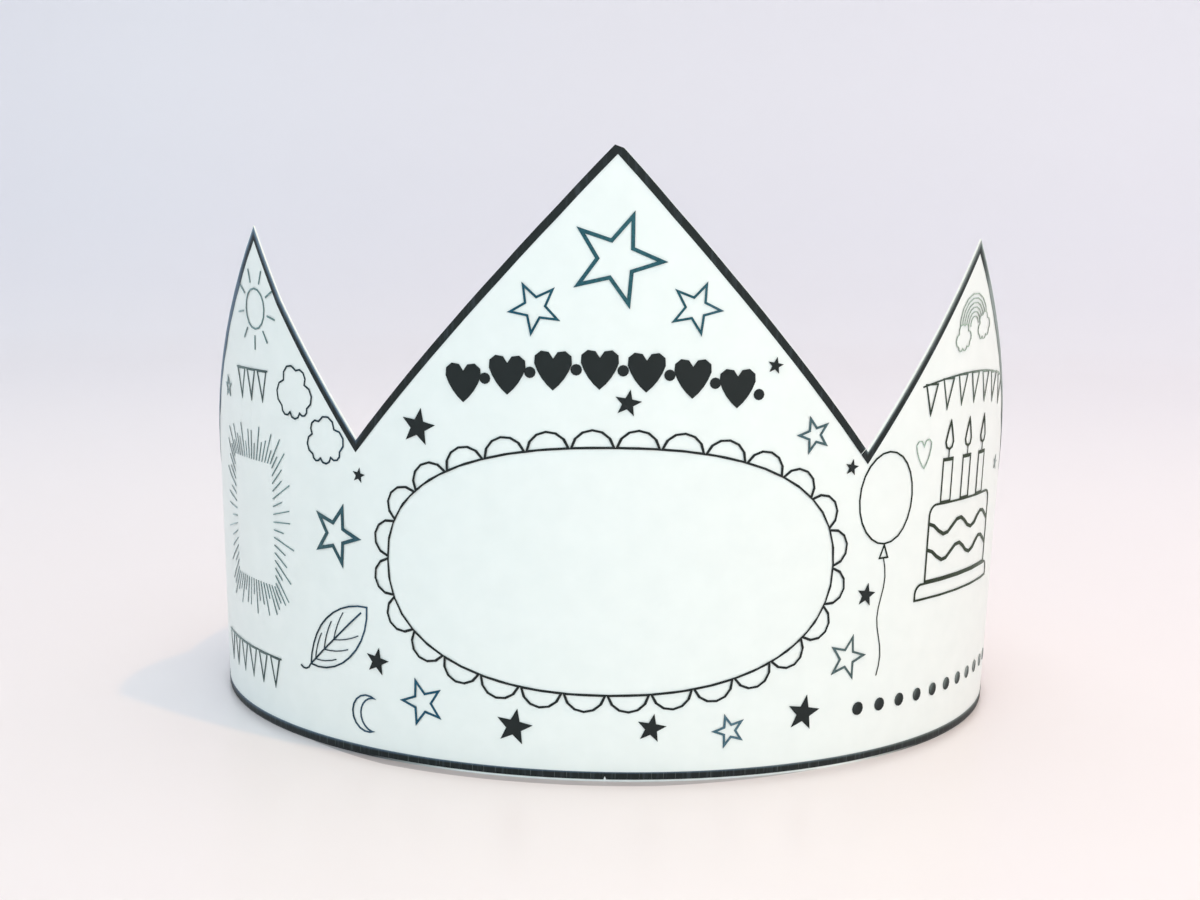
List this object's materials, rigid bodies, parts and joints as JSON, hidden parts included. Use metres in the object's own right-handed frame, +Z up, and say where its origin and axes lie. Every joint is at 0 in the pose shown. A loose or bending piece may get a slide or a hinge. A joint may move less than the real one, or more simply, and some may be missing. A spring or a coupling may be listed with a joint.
{
  "type": "paper crown",
  "caption": "Child's paper party crown: a printed card band with tall points, bent round the head and closed at the back by a plain low strap.",
  "frame": {"origin": "on the floor plane at the crown's lower edge, under the middle of its overall length and width", "axes": "+Z up towards the points; the front point faces -Y; +X is to the right as the wearer is faced"},
  "size_m": [0.1828, 0.1853, 0.1229],
  "materials": {
    "card": "satin",
    "black_ink": "satin",
    "line_ink": "satin"
  },
  "bodies": {
    "root": {"front_sheet": "card", "back_strap": "card", "printed_border": "black_ink", "scalloped_frame": "black_ink", "solid_stars": "black_ink", "outline_stars": "line_ink", "heart_garland": "black_ink", "dot_row": "black_ink", "drawn_sun": "line_ink", "drawn_clouds": "line_ink", "ray_burst": "line_ink", "drawn_leaf": "line_ink", "drawn_moon": "line_ink", "drawn_rainbow": "line_ink", "drawn_heart": "line_ink", "drawn_balloon": "line_ink", "drawn_cake": "line_ink", "pennant_strings": "line_ink"}
  },
  "joints": []
}
